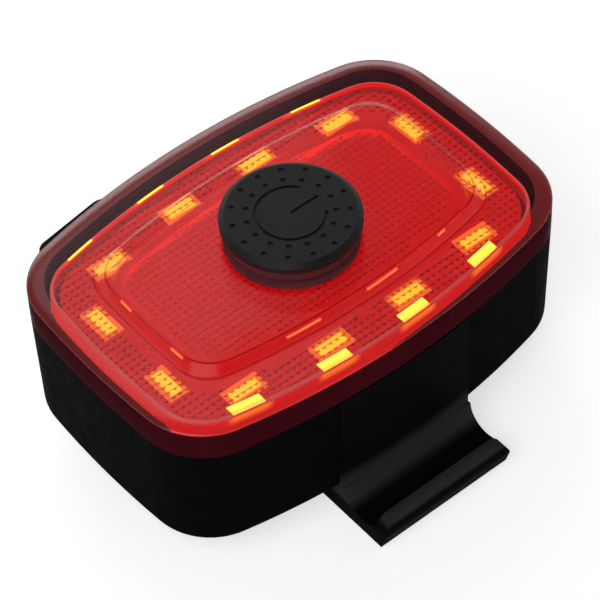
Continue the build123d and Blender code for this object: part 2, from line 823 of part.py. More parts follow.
with BuildPart() as battery_header:
    with Locations((lead_rise_x, 0, header_bottom + header_height / 2)):
        Box(plug_length + 2 * header_margin, plug_width + 2 * header_margin, header_height)
save(battery_header, "battery_header")

# Electronics on the underside of the main board
with BuildPart() as control_chip:
    with Locations((control_chip_x, chips_y, board_bottom - chip_height / 2)):
        Box(chip_length, chip_width, chip_height)
    chamfer(control_chip.edges().group_by(Axis.Z)[0], small_chamfer)
save(control_chip, "control_chip")

with BuildPart() as boost_coil:
    with Locations((coil_x, chips_y, board_bottom - coil_height / 2)):
        Box(coil_size, coil_size, coil_height)
    chamfer(boost_coil.edges().filter_by(Axis.Z), coil_corner)
save(boost_coil, "boost_coil")

with BuildPart() as chip_parts:
    with Locations((chip_caps_x, 0, board_bottom - chip_cap_height / 2)):
        with GridLocations(chip_cap_pitch, chip_cap_pitch, chip_cap_columns, chip_cap_rows):
            Box(chip_cap_length, chip_cap_width, chip_cap_height)
save(chip_parts, "chip_parts")
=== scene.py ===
"""Bicycle tail light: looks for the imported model, in metres, in the part's own frame."""
from math import atan2, cos, degrees, floor, pi, radians, sin, sqrt

import bpy
from mathutils import Matrix, Vector
from mathutils.geometry import delaunay_2d_cdt


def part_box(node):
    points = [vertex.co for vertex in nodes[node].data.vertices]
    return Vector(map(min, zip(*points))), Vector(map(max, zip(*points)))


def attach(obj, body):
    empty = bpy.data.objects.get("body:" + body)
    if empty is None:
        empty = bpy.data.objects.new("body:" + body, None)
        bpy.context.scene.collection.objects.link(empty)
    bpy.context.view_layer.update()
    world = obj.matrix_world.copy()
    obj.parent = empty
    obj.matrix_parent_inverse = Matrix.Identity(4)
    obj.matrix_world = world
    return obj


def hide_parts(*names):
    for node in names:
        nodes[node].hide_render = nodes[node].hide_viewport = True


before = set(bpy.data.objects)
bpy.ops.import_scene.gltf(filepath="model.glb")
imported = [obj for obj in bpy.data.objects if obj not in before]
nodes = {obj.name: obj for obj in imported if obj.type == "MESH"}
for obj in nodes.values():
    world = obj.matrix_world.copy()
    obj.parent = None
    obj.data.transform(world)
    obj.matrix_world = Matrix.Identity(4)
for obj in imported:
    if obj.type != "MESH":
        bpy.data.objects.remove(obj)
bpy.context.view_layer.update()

mm = 0.001

# Corners of a square, anticlockwise
SQUARE = ((-1, -1), (1, -1), (1, 1), (-1, 1))

# Outline of the body, in millimetres, as the solids have it
HALF_LENGTH = 34.0
HALF_WIDTH = 23.4
LONG_SIDE_RADIUS = 118.0
SHORT_SIDE_RADIUS = 150.0
CORNER_RADIUS = 10.0
ISLAND_CORNER = 5.2

# Heights in millimetres
HOUSING_TOP = 23.2
COVER_TOP = 28.2
ISLAND_TOP = 29.5
PRISM_TOP = 26.43
PRISM_ISLAND_TOP = 27.8
COLLAR_TOP = 31.45
LED_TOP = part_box("leds")[1].z / mm
BOARD_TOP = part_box("main_board")[1].z / mm

# Optical index of each clear plastic and of the gloss on the cover, and how rough that gloss is
COVER_IOR = 1.04
LENS_IOR = 1.2
COAT_IOR = 1.5
COAT_ROUGHNESS = 0.2

# Noise patterns: cycles per metre and detail
MOTTLE = (260, 4)
SHEEN = (420, 5)
METAL_MOTTLE = (500, 4)
TINT = (120, 2)
WAVE = (90, 1)

# Detail of the noises whose scale differs from material to material
GRAIN_DETAIL = 3
STREAK_DETAIL = 3
STREAK_BUMP_DETAIL = 2
GLOW_DETAIL = 3

# Roughness of every noise, and the part of its range that is used
NOISE_ROUGHNESS = 0.5
NOISE_LOW = 0.3
NOISE_HIGH = 0.7

# Moulded surfaces: grain in cycles per metre, its strength, and its depth in metres
GRAIN = 9000
GRAIN_STRENGTH = 0.6
GRAIN_DEPTH = 4e-6
BLACK_SPECULAR = 0.01

# Bumps of metal and clear plastic: strength, and depth in metres
STREAK_BUMP = (0.4, 2e-6)
WAVE_BUMP = (0.3, 2e-5)

# Lit surfaces: their gloss, and the cycles per metre of their two patterns
GLOW_ROUGHNESS = 0.5
GLOW_SPECULAR = 0.2
COARSE_GLOW = 400
FINE_GLOW = 900

# Sockets of a mix node that mixes colours
MIX_FACTOR = 0
MIX_FIRST = 6
MIX_SECOND = 7
MIX_RESULT = 2

# Light windows beside the LEDs: spacing of the LEDs, length and shift along the side
LED_PITCH = 13.27
WINDOW_LENGTH = 4.6
WINDOW_SHIFT = -2.1

# The lens's side wall: its painted red glow at the foot and at the top, and its gloss
WALL_GLOW_REDS = ((0.62, 0.004, 0.008), (0.68, 0.006, 0.008))
WALL_BASE = (0.3, 0.004, 0.006)
WALL_ROUGHNESS = 0.25
WALL_SPECULAR = 0.1

# Orange light on that wall: its colour, the share of a window's length at which it has faded,
# the Y where a long side starts, and the depths below the lens's top where it starts and is full
ORANGE = (1.4, 0.35, 0.02)
ORANGE_FADE = 0.75
ORANGE_START_Y = 16.5
ORANGE_FULL_Y = 17.5
ORANGE_START_DEPTH = 1.8
ORANGE_FULL_DEPTH = 0.6

# Where the hooks carry painted highlights, in millimetres: up the groove's slope and along the lip
HOOK_HIGHLIGHT_HEIGHT = 6.0
HOOK_HIGHLIGHT_FADE = 2.5
HOOK_SLOPE_FOOT = 2.5
HOOK_FOOT_FADE = 1.0
HOOK_SLOPE_END_Y = 26.6
HOOK_END_FADE = 0.8
HOOK_LIP_HEIGHT = 3.9
HOOK_LIP_FADE = 0.5
HOOK_LIP_Y = 29.2
HOOK_EDGE_FADE = 0.4
HOOK_PLAIN_BLACK = ((0.0035, 0.0035, 0.0037), (0.0045, 0.0045, 0.0048))
HOOK_PAINTED_HIGHLIGHT = ((0.031, 0.031, 0.0315), (0.036, 0.036, 0.0365))
HOOK_ROUGHNESS = (0.32, 0.42)

# Points along each side and round each corner of a ring, and round a plain circle
LONG_STEPS = 44
SHORT_STEPS = 30
CORNER_STEPS = 26
CIRCLE_STEPS = 40


def arc(cx, cy, radius, start, sweep, steps):
    """Points of an arc, its last point left to the next arc."""
    angles = [radians(start + sweep * i / steps) for i in range(steps)]
    return [(cx + radius * cos(a), cy + radius * sin(a)) for a in angles]


def outline(inset, corner=None):
    """The body's outline in millimetres, set in by a distance, anticlockwise from +X."""
    if corner is None:
        corner = CORNER_RADIUS - inset
    long_radius = LONG_SIDE_RADIUS - inset
    short_radius = SHORT_SIDE_RADIUS - inset
    long_centre = Vector((0, HALF_WIDTH - LONG_SIDE_RADIUS))
    short_centre = Vector((HALF_LENGTH - SHORT_SIDE_RADIUS, 0))
    between = short_centre - long_centre
    reach = long_radius - corner
    along = (reach**2 - (short_radius - corner) ** 2 + between.length_squared) / (2 * between.length)
    across = sqrt(reach**2 - along**2)
    unit = between.normalized()
    centre = long_centre + unit * along + Vector((unit.y, -unit.x)) * across
    long_half = degrees(atan2(centre.x, centre.y - long_centre.y))
    short_half = degrees(atan2(centre.y, centre.x - short_centre.x))
    sweep = 90 - long_half - short_half
    half = arc(short_centre.x, 0, short_radius, -short_half, 2 * short_half, SHORT_STEPS)
    half += arc(centre.x, centre.y, corner, short_half, sweep, CORNER_STEPS)
    half += arc(0, long_centre.y, long_radius, 90 - long_half, 2 * long_half, LONG_STEPS)
    half += arc(-centre.x, centre.y, corner, 90 + long_half, sweep, CORNER_STEPS)
    # the other half is the first turned by half a turn
    return half + [(-x, -y) for x, y in half]


def ring(inset, height, corner=None):
    """A closed ring of 3-D points in millimetres."""
    return [Vector((x, y, height)) for x, y in outline(inset, corner)]


def circle(radius, height, like=None):
    """A circle's points in millimetres, at the angles of another ring or else at even angles."""
    if like is None:
        angles = [2 * pi * i / CIRCLE_STEPS for i in range(CIRCLE_STEPS)]
    else:
        angles = [atan2(p.y, p.x) for p in like]
    return [Vector((radius * cos(a), radius * sin(a), height)) for a in angles]


class Builder:
    """Collects vertices and faces in millimetres and makes one object of them in metres."""

    def __init__(self):
        self.points = []
        self.faces = []
        self.kinds = []

    def add_ring(self, points):
        """Adds a ring's points and gives their indices."""
        start = len(self.points)
        self.points += [Vector(p) for p in points]
        return list(range(start, start + len(points)))

    def add_face(self, corners, kind=0):
        """Adds one face, with the number of its material."""
        self.faces.append(tuple(corners))
        self.kinds.append(kind)

    def bridge(self, low, high, kind=0):
        """Quads between two rings; the ring order sets which way they face."""
        count = len(low)
        for i in range(count):
            j = (i + 1) % count
            self.add_face((low[i], low[j], high[j], high[i]), kind)

    def chain(self, rows, kind=0):
        """Quads between each index list and the next."""
        for low, high in zip(rows, rows[1:]):
            self.bridge(low, high, kind)

    def loft(self, rings, kind=0):
        """Quads through several rings, and the index lists of the first and last."""
        rows = [self.add_ring(r) for r in rings]
        self.chain(rows, kind)
        return rows[0], rows[-1]

    def extend(self, row, rings, kind=0):
        """Quads from an index list on through more rings, and the last one's index list."""
        rows = [row] + [self.add_ring(r) for r in rings]
        self.chain(rows, kind)
        return rows[-1]

    def make(self, name, materials, smooth_angle=None):
        """The object, smooth where its faces meet at less than an angle in degrees."""
        mesh = bpy.data.meshes.new(name)
        mesh.from_pydata([p * mm for p in self.points], [], self.faces)
        for material in materials:
            mesh.materials.append(material)
        for polygon, kind in zip(mesh.polygons, self.kinds):
            polygon.material_index = kind
        mesh.validate()
        mesh.update()
        thing = bpy.data.objects.new(name, mesh)
        bpy.context.scene.collection.objects.link(thing)
        if smooth_angle is not None:
            mesh.shade_smooth()
            mesh.set_sharp_from_angle(angle=radians(smooth_angle))
        return thing


# Materials

def tree(name):
    """A new material, its node tree and its Principled shader."""
    material = bpy.data.materials.new(name)
    material.use_nodes = True
    nt = material.node_tree
    return material, nt, nt.nodes["Principled BSDF"]


def fill(made, **values):
    """Sets a node's properties by name, or its inputs where it has no such property."""
    for key, value in values.items():
        if hasattr(made, key):
            setattr(made, key, value)
        else:
            made.inputs[key.replace("_", " ")].default_value = value


def node(nt, kind, **values):
    """A new node with some of its properties or inputs set by name."""
    made = nt.nodes.new(kind)
    fill(made, **values)
    return made


def maths(nt, operation, first, second=None):
    """A maths node's value; each input is a number or a socket."""
    made = node(nt, "ShaderNodeMath", operation=operation)
    for slot, value in enumerate((first, second)):
        if value is None:
            continue
        if isinstance(value, (int, float)):
            made.inputs[slot].default_value = value
        else:
            nt.links.new(value, made.inputs[slot])
    return made.outputs[0]


def place(nt, scale):
    """Object coordinates times a scale, as a vector socket."""
    coords = node(nt, "ShaderNodeTexCoord")
    mapping = node(nt, "ShaderNodeMapping", Scale=(scale, scale, scale))
    nt.links.new(coords.outputs["Object"], mapping.inputs["Vector"])
    return mapping.outputs["Vector"]


def axes(nt):
    """X, Y and Z on the object in millimetres, as three sockets."""
    parts = node(nt, "ShaderNodeSeparateXYZ")
    nt.links.new(place(nt, 1 / mm), parts.inputs[0])
    return parts.outputs


def noise(nt, scale, detail):
    """A noise value, with its scale in cycles per metre."""
    made = node(nt, "ShaderNodeTexNoise", Detail=detail, Roughness=NOISE_ROUGHNESS, Scale=1.0)
    nt.links.new(place(nt, scale), made.inputs["Vector"])
    return made.outputs["Fac"]


def spread(nt, value, low, high, from_low=NOISE_LOW, from_high=NOISE_HIGH):
    """A value mapped from one range onto another."""
    made = node(
        nt, "ShaderNodeMapRange", From_Min=from_low, From_Max=from_high, To_Min=low, To_Max=high,
    )
    nt.links.new(value, made.inputs["Value"])
    return made.outputs["Result"]


def blend_colours(nt, factor, first, second):
    """A colour between two by a factor; each of the two is a colour or a socket."""
    made = node(nt, "ShaderNodeMix", data_type="RGBA")
    nt.links.new(factor, made.inputs[MIX_FACTOR])
    for slot, value in ((MIX_FIRST, first), (MIX_SECOND, second)):
        if isinstance(value, tuple):
            made.inputs[slot].default_value = (*value, 1)
        else:
            nt.links.new(value, made.inputs[slot])
    return made.outputs[MIX_RESULT]


def mottled(nt, pattern, first, second):
    """A colour that varies between two by a noise pattern."""
    return blend_colours(nt, spread(nt, noise(nt, *pattern), 0, 1), first, second)


def bump(nt, shader, height, strength, depth):
    """A bump from a height value, its depth in metres."""
    made = node(nt, "ShaderNodeBump", Strength=strength, Distance=depth)
    nt.links.new(height, made.inputs["Height"])
    nt.links.new(made.outputs["Normal"], shader.inputs["Normal"])


def moulded(name, dark, light, roughness=(0.35, 0.5), grain=GRAIN, depth=GRAIN_DEPTH, specular=0.3):
    """Moulded plastic or rubber: a faint mottle, a fine grain and an uneven sheen."""
    material, nt, shader = tree(name)
    fill(shader, Specular_IOR_Level=specular)
    nt.links.new(mottled(nt, MOTTLE, dark, light), shader.inputs["Base Color"])
    nt.links.new(spread(nt, noise(nt, *SHEEN), *roughness), shader.inputs["Roughness"])
    bump(nt, shader, noise(nt, grain, GRAIN_DETAIL), GRAIN_STRENGTH, depth)
    return material


def metal(name, dark, light, roughness=(0.25, 0.4), streak=3000):
    """Plated or drawn metal with fine streaks."""
    material, nt, shader = tree(name)
    fill(shader, Metallic=1.0)
    nt.links.new(mottled(nt, METAL_MOTTLE, dark, light), shader.inputs["Base Color"])
    sheen = spread(nt, noise(nt, streak, STREAK_DETAIL), *roughness)
    nt.links.new(sheen, shader.inputs["Roughness"])
    bump(nt, shader, noise(nt, streak, STREAK_BUMP_DETAIL), *STREAK_BUMP)
    return material


def clear(name, first, second, index, passes=1.0, coat=0.0, glow=None):
    """See-through plastic: a faintly uneven tint, a shallow moulding wave and a clear gloss."""
    material, nt, shader = tree(name)
    fill(shader, Transmission_Weight=passes, IOR=index, Roughness=0.0)
    fill(shader, Coat_Weight=coat, Coat_IOR=COAT_IOR, Coat_Roughness=COAT_ROUGHNESS)
    if glow is not None:
        fill(shader, Emission_Color=(*glow, 1), Emission_Strength=1.0)
    nt.links.new(mottled(nt, TINT, first, second), shader.inputs["Base Color"])
    bump(nt, shader, noise(nt, *WAVE), *WAVE_BUMP)
    return material


def glowing(name, first, second, base, scale=COARSE_GLOW):
    """A lit surface: its own light varies a little from place to place."""
    material, nt, shader = tree(name)
    fill(shader, Base_Color=(*base, 1), Roughness=GLOW_ROUGHNESS, Specular_IOR_Level=GLOW_SPECULAR)
    fill(shader, Emission_Strength=1.0)
    light = mottled(nt, (scale, GLOW_DETAIL), first, second)
    nt.links.new(light, shader.inputs["Emission Color"])
    return material


def lens_wall(name):
    """The lens's side wall with a painted red glow, a little brighter at its top, and orange beside
    each LED on the long sides.
    """
    material, nt, shader = tree(name)
    fill(shader, Base_Color=(*WALL_BASE, 1), Roughness=WALL_ROUGHNESS)
    fill(shader, Specular_IOR_Level=WALL_SPECULAR, Emission_Strength=1.0)
    x, y, z = axes(nt)
    red = blend_colours(nt, spread(nt, z, 0, 1, HOUSING_TOP, PRISM_TOP), *WALL_GLOW_REDS)
    cycles = maths(nt, "DIVIDE", maths(nt, "SUBTRACT", x, WINDOW_SHIFT), LED_PITCH)
    offset = maths(nt, "ABSOLUTE", maths(nt, "SUBTRACT", maths(nt, "FRACT", cycles), 0.5))
    full = WINDOW_LENGTH / 2 / LED_PITCH
    gone = WINDOW_LENGTH * ORANGE_FADE / LED_PITCH
    beside = spread(nt, offset, 1, 0, full, gone)
    long_side = spread(nt, maths(nt, "ABSOLUTE", y), 0, 1, ORANGE_START_Y, ORANGE_FULL_Y)
    high = spread(nt, z, 0, 1, PRISM_TOP - ORANGE_START_DEPTH, PRISM_TOP - ORANGE_FULL_DEPTH)
    near = maths(nt, "MULTIPLY", maths(nt, "MULTIPLY", beside, long_side), high)
    nt.links.new(blend_colours(nt, near, red, ORANGE), shader.inputs["Emission Color"])
    return material


def hook_painted_highlights(name):
    """The strap base's black plastic, with painted highlights up the hooks' groove slopes and on
    their lips.
    """
    material, nt, shader = tree(name)
    fill(shader, Specular_IOR_Level=BLACK_SPECULAR)
    _, y, z = axes(nt)
    out = maths(nt, "ABSOLUTE", y)
    slope = maths(
        nt, "MULTIPLY",
        spread(nt, z, 0, 1, HOOK_SLOPE_FOOT, HOOK_SLOPE_FOOT + HOOK_FOOT_FADE),
        spread(nt, out, 1, 0, HOOK_SLOPE_END_Y, HOOK_SLOPE_END_Y + HOOK_END_FADE),
    )
    lip = maths(
        nt, "MULTIPLY",
        spread(nt, z, 0, 1, HOOK_LIP_HEIGHT, HOOK_LIP_HEIGHT + HOOK_LIP_FADE),
        spread(nt, out, 0, 1, HOOK_LIP_Y, HOOK_LIP_Y + HOOK_EDGE_FADE),
    )
    low = spread(nt, z, 1, 0, HOOK_HIGHLIGHT_HEIGHT, HOOK_HIGHLIGHT_HEIGHT + HOOK_HIGHLIGHT_FADE)
    # Painted highlights: paler up the groove's slope and on the lip's top, fading out higher up
    highlight_mask = maths(nt, "MULTIPLY", low, maths(nt, "MAXIMUM", slope, lip))
    mottle = spread(nt, noise(nt, *MOTTLE), 0, 1)
    plain_black = blend_colours(nt, mottle, *HOOK_PLAIN_BLACK)
    highlight_black = blend_colours(nt, mottle, *HOOK_PAINTED_HIGHLIGHT)
    nt.links.new(blend_colours(nt, highlight_mask, plain_black, highlight_black), shader.inputs["Base Color"])
    nt.links.new(spread(nt, noise(nt, *SHEEN), *HOOK_ROUGHNESS), shader.inputs["Roughness"])
    bump(nt, shader, noise(nt, GRAIN, GRAIN_DETAIL), GRAIN_STRENGTH, GRAIN_DEPTH)
    return material


# Finishes and colours that more than one material has
RUBBER = {"roughness": (0.6, 0.8), "grain": 14000, "depth": 8e-6, "specular": 0.1}
COVER_TINTS = ((0.94, 0.8, 0.8), (0.92, 0.78, 0.78))
RED_BASE = (0.2, 0.01, 0.012)
AMBER_BASE = (0.5, 0.3, 0.1)
ORANGE_BASE = (0.5, 0.1, 0.05)

black_plastic = moulded(
    "black_plastic", (0.0025, 0.0025, 0.0027), (0.0035, 0.0035, 0.0038),
    roughness=(0.45, 0.6), specular=BLACK_SPECULAR,
)
hook_plastic_painted_highlights = hook_painted_highlights("hook_plastic_painted_highlights")
black_rubber = moulded("black_rubber", (0.006, 0.006, 0.006), (0.01, 0.01, 0.01), **RUBBER)
button_plastic = moulded(
    "button_plastic", (0.012, 0.012, 0.0125), (0.015, 0.015, 0.0155),
    roughness=(0.35, 0.45), grain=12000, depth=3e-6, specular=0.2,
)
gasket_rubber = moulded("gasket_rubber", (0.1, 0.035, 0.04), (0.14, 0.05, 0.055), **RUBBER)
grey_plastic = moulded("grey_plastic", (0.03, 0.02, 0.02), (0.045, 0.03, 0.03))
chip_black = moulded(
    "chip_black", (0.015, 0.015, 0.016), (0.03, 0.03, 0.03),
    roughness=(0.5, 0.7), grain=16000, depth=5e-6,
)
ceramic_tan = moulded("ceramic_tan", (0.3, 0.2, 0.12), (0.42, 0.3, 0.2), roughness=(0.5, 0.6))
circuit_green = moulded(
    "circuit_board", (0.02, 0.11, 0.05), (0.03, 0.16, 0.07),
    roughness=(0.25, 0.4), grain=2500, depth=6e-6,
)
foam_grey = moulded(
    "foam_grey", (0.05, 0.05, 0.05), (0.09, 0.09, 0.09),
    roughness=(0.85, 0.95), grain=5000, depth=6e-5,
)
white_nylon = moulded("white_nylon", (0.6, 0.59, 0.56), (0.7, 0.69, 0.66), roughness=(0.4, 0.5))
lead_red = moulded("lead_red", (0.3, 0.008, 0.008), (0.4, 0.012, 0.012), roughness=(0.35, 0.5))
screw_steel = metal("screw_steel", (0.42, 0.42, 0.42), (0.6, 0.6, 0.6))
plated_steel = metal("plated_steel", (0.5, 0.5, 0.5), (0.66, 0.66, 0.66), roughness=(0.2, 0.3))
brass = metal("brass", (0.6, 0.42, 0.16), (0.75, 0.55, 0.22))
coil_grey = metal("coil_grey", (0.08, 0.08, 0.08), (0.14, 0.14, 0.14), roughness=(0.5, 0.7))
foil = metal(
    "cell_foil", (0.55, 0.56, 0.57), (0.7, 0.71, 0.72), roughness=(0.3, 0.45), streak=1200,
)
cover_clear = clear("cover_clear", *COVER_TINTS, COVER_IOR, coat=0.6)
cover_inner = clear("cover_inner", *COVER_TINTS, COVER_IOR)
cover_rim = clear("cover_rim", (0.7, 0.42, 0.42), (0.65, 0.38, 0.38), COVER_IOR, coat=0.8)
cover_edge = clear(
    "cover_edge", (0.55, 0.26, 0.26), (0.5, 0.23, 0.23), COVER_IOR, coat=1.0,
    glow=(0.11, 0.01, 0.01),
)
cover_wall = clear(
    "cover_wall", (0.03, 0.003, 0.005), (0.022, 0.002, 0.004), COVER_IOR, passes=0.0,
    glow=(0.016, 0.001, 0.002),
)
# Darker tint for thin bands round the island's foot and brow: painted shade lines
cover_crease_painted_shade = clear("cover_crease_painted_shade", (0.5, 0.2, 0.2), (0.45, 0.17, 0.17), COVER_IOR, coat=0.8)
cover_collar = clear(
    "cover_collar", (0.13, 0.045, 0.05), (0.11, 0.038, 0.042), COVER_IOR, passes=0.3, coat=0.6,
)
lens_clear = clear(
    "lens_clear", (0.95, 0.2, 0.18), (0.92, 0.18, 0.16), LENS_IOR, glow=(0.06, 0.001, 0.0015),
)
# Darker tints for the far side of each lattice pit: painted shade
facet_painted_shade = clear(
    "facet_painted_shade", (0.19, 0.025, 0.025), (0.15, 0.02, 0.02), LENS_IOR, glow=(0.03, 0.001, 0.0015),
)
facet_faint_painted_shade = clear(
    "facet_faint_painted_shade", (0.38, 0.085, 0.08), (0.32, 0.07, 0.065), LENS_IOR, glow=(0.04, 0.001, 0.0015),
)
lens_side = lens_wall("lens_side")
lens_inner = glowing("lens_inner", (0.2, 0.006, 0.01), (0.16, 0.005, 0.008), RED_BASE)
lens_edge = glowing("lens_edge", (0.46, 0.08, 0.08), (0.42, 0.07, 0.07), RED_BASE)
mask_lit = glowing("mask_lit", (0.36, 0.012, 0.018), (0.31, 0.01, 0.015), RED_BASE)
led_frame = glowing("led_frame", (0.65, 0.85, 0.1), (0.55, 0.7, 0.08), AMBER_BASE, FINE_GLOW)
led_light = glowing("led_light", (1.3, 4.0, 0.2), (1.2, 3.6, 0.16), AMBER_BASE, FINE_GLOW)
window_light = glowing("window_light", (2.5, 1.5, 0.05), (2.3, 1.3, 0.04), AMBER_BASE, FINE_GLOW)
sliver_light = glowing("sliver_light", (1.1, 0.24, 0.05), (1.0, 0.2, 0.04), ORANGE_BASE, FINE_GLOW)

# Finish of each solid that shows as it is
plain = {
    "rear_housing": black_plastic,
    "strap_base": hook_plastic_painted_highlights,
    "seatpost_pad": black_rubber,
    "cover_gasket": black_rubber,
    "button_gasket": gasket_rubber,
    "usb_cover": black_rubber,
    "usb_cover_anchor": black_rubber,
    "button_cap": button_plastic,
    "button_stem": grey_plastic,
    "switch_plunger": grey_plastic,
    "switch_body": chip_black,
    "usb_tongue": chip_black,
    "control_chip": chip_black,
    "chip_parts": ceramic_tan,
    "boost_coil": coil_grey,
    "main_board": circuit_green,
    "port_board": circuit_green,
    "led_mask": mask_lit,
    "battery_plug": white_nylon,
    "battery_header": white_nylon,
    "battery_leads": lead_red,
    "battery_pad": foam_grey,
    "battery_cell": foil,
    "board_screws": mask_lit,
    "port_board_screws": screw_steel,
    "base_screws": screw_steel,
    "usb_shell": plated_steel,
    "link_pins": brass,
}
for name, material in plain.items():
    thing = nodes[name]
    thing.data.materials.clear()
    thing.data.materials.append(material)


# Smoked cover, in millimetres

COVER_WALL = 1.5
COVER_ROOF = 1.3
COVER_BEVEL = 0.4
SMOKED_INSET = 2.7
COVER_SMOOTH_ANGLE = 30

# The crown on its outer edge, and the small rounding outside it with one ring part of the way up
CROWN_WIDTH = 2.4
CROWN_DROP = 0.42
CROWN_STEPS = 12
CROWN_ROUNDING = 0.15
CROWN_ROUNDING_SHARE = 0.3

# Its island: the foot's inset, the slope's width, the thickness and the level strip before it
ISLAND_FOOT = 8.1
ISLAND_SLOPE = 1.25
ISLAND_THICKNESS = 1.0
ISLAND_LEAD = 0.7

# Steps round the island's foot and brow: inset and height from each sharp edge
COVER_FOOT_STEPS = ((-0.1, 0), (0.1, 0.06))
COVER_BROW_STEPS = ((-0.22, -0.2), (-0.08, -0.06), (0.15, 0))

# Its collar round the button
COLLAR_RADIUS = 9.1
COLLAR_WALL = 0.9

COVER_MATERIALS = [
    cover_clear, cover_rim, cover_wall, cover_collar, cover_edge, cover_inner, cover_crease_painted_shade,
]
CLEAR, RIM, WALL, COLLAR, EDGE, INNER, CREASE_PAINTED_SHADE = range(len(COVER_MATERIALS))


def crown_rings():
    """Rings over the cover's shallow crown, from the small rounding of its outer edge inwards."""
    part = CROWN_ROUNDING_SHARE * CROWN_ROUNDING
    rows = [(0, CROWN_DROP + CROWN_ROUNDING), (part, CROWN_DROP + part)]
    for i in range(CROWN_STEPS + 1):
        inset = CROWN_ROUNDING + (CROWN_WIDTH - CROWN_ROUNDING) * i / CROWN_STEPS
        rows.append((inset, CROWN_DROP * (1 - inset / CROWN_WIDTH) ** 2))
    return [ring(inset, COVER_TOP - drop) for inset, drop in rows]


def island_rings(foot, tip, low, high, foot_steps, brow_steps):
    """Rings up an island's slope, rounded at its foot and its brow."""
    steps = [(foot + inset, low + rise) for inset, rise in foot_steps]
    steps += [(tip + inset, high + rise) for inset, rise in brow_steps]
    return [ring(inset, height, ISLAND_CORNER) for inset, height in steps]


def cover_shell():
    """The cover as one closed shell: dark wall, crown, rim, clear island with painted shade lines at
    its foot and brow, collar.
    """
    b = Builder()
    crown = crown_rings()
    first, last = b.loft([ring(0, HOUSING_TOP), crown[0]], WALL)
    last = b.extend(last, crown[1:], EDGE)
    last = b.extend(last, [ring(SMOKED_INSET, COVER_TOP)], RIM)
    foot = ISLAND_FOOT
    tip = ISLAND_FOOT + ISLAND_SLOPE
    slope = island_rings(foot, tip, COVER_TOP, ISLAND_TOP, COVER_FOOT_STEPS, COVER_BROW_STEPS)
    brow = slope[-1]
    top = [ring(foot - ISLAND_LEAD, COVER_TOP)] + slope + [circle(COLLAR_RADIUS, ISLAND_TOP, brow)]
    rows = [last] + [b.add_ring(r) for r in top]
    kinds = (CLEAR, CLEAR, CREASE_PAINTED_SHADE, CLEAR, CLEAR, CREASE_PAINTED_SHADE, CLEAR)
    for low, high, kind in zip(rows, rows[1:], kinds):
        b.bridge(low, high, kind)
    bore = COLLAR_RADIUS - COLLAR_WALL
    island_ceiling = ISLAND_TOP - ISLAND_THICKNESS
    collar = ((COLLAR_RADIUS, COLLAR_TOP), (bore, COLLAR_TOP), (bore, island_ceiling))
    last = b.extend(rows[-1], [circle(radius, height, brow) for radius, height in collar], COLLAR)
    ceiling = COVER_TOP - COVER_ROOF
    under = [
        ring(tip + ISLAND_THICKNESS, island_ceiling, ISLAND_CORNER),
        ring(foot + ISLAND_THICKNESS, ceiling, ISLAND_CORNER),
        ring(SMOKED_INSET, ceiling),
        ring(COVER_WALL + COVER_BEVEL, ceiling),
        ring(COVER_WALL, ceiling - COVER_BEVEL),
        ring(COVER_WALL, HOUSING_TOP),
    ]
    last = b.extend(last, under, INNER)
    b.bridge(last, first, WALL)
    shell = b.make("cover_shell", COVER_MATERIALS, COVER_SMOOTH_ANGLE)
    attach(shell, "light")
    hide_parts("front_cover")


cover_shell()

# Prism lens, in millimetres

PRISM_INSET = 2.95
PRISM_WALL = 0.3
PRISM_ROOF = 1.38
PRISM_ISLAND = 9.6
PRISM_SLOPE = 0.9
PRISM_ISLAND_ROOF = 1.4
PRISM_ISLAND_WALL = 0.6
PRISM_FOOT_STEPS = ((-0.1, 0), (0.08, 0.06))
PRISM_BROW_STEPS = ((-0.16, -0.2), (0, -0.05), (0.2, 0))
PRISM_SMOOTH_ANGLE = 12
STEM_HOLE = 2.6

# Its rounded edge: radius, steps, and how many of the rings belong to the side wall
PRISM_EDGE = 0.5
EDGE_STEPS = 6
EDGE_SIDE_RINGS = 3

# The bead round its foot
BEAD_PROUD = 0.12
BEAD_HEIGHT = 0.2
BEAD_TOP = 0.26

# Its lattice of pits: pitch, depth, margin to the borders, and where the outer ring's pits stop
LATTICE_PITCH = 1.05
LATTICE_RISE = 0.13
LATTICE_MARGIN = 0.1
LATTICE_STOP = 8.7

# Digits by which two lattice points are the same, and the tolerance of the triangulation
SAME_POINT_DIGITS = 3
MESH_TOLERANCE = 1e-5

LENS_MATERIALS = [lens_clear, lens_side, lens_inner, lens_edge, facet_painted_shade, facet_faint_painted_shade]
LENS_CLEAR, LENS_SIDE, LENS_INNER, LENS_EDGE, FACET_PAINTED_SHADE, FACET_FAINT_PAINTED_SHADE = range(len(LENS_MATERIALS))


def rounded_edge(inset, height, radius):
    """Rings round a convex edge where a wall at an inset meets a level top at a height."""
    rings = []
    for i in range(EDGE_STEPS + 1):
        a = radians(90 * i / EDGE_STEPS)
        rings.append(ring(inset + radius * (1 - cos(a)), height - radius * (1 - sin(a))))
    return rings


def inside(point, loop):
    """True if a point lies in a closed loop of points."""
    x, y = point
    hit = False
    for (x0, y0), (x1, y1) in zip(loop, loop[1:] + loop[:1]):
        if (y0 > y) != (y1 > y) and x < (x1 - x0) * (y - y0) / (y1 - y0) + x0:
            hit = not hit
    return hit


def pairs(points):
    """The points' x and y."""
    return [(p.x, p.y) for p in points]


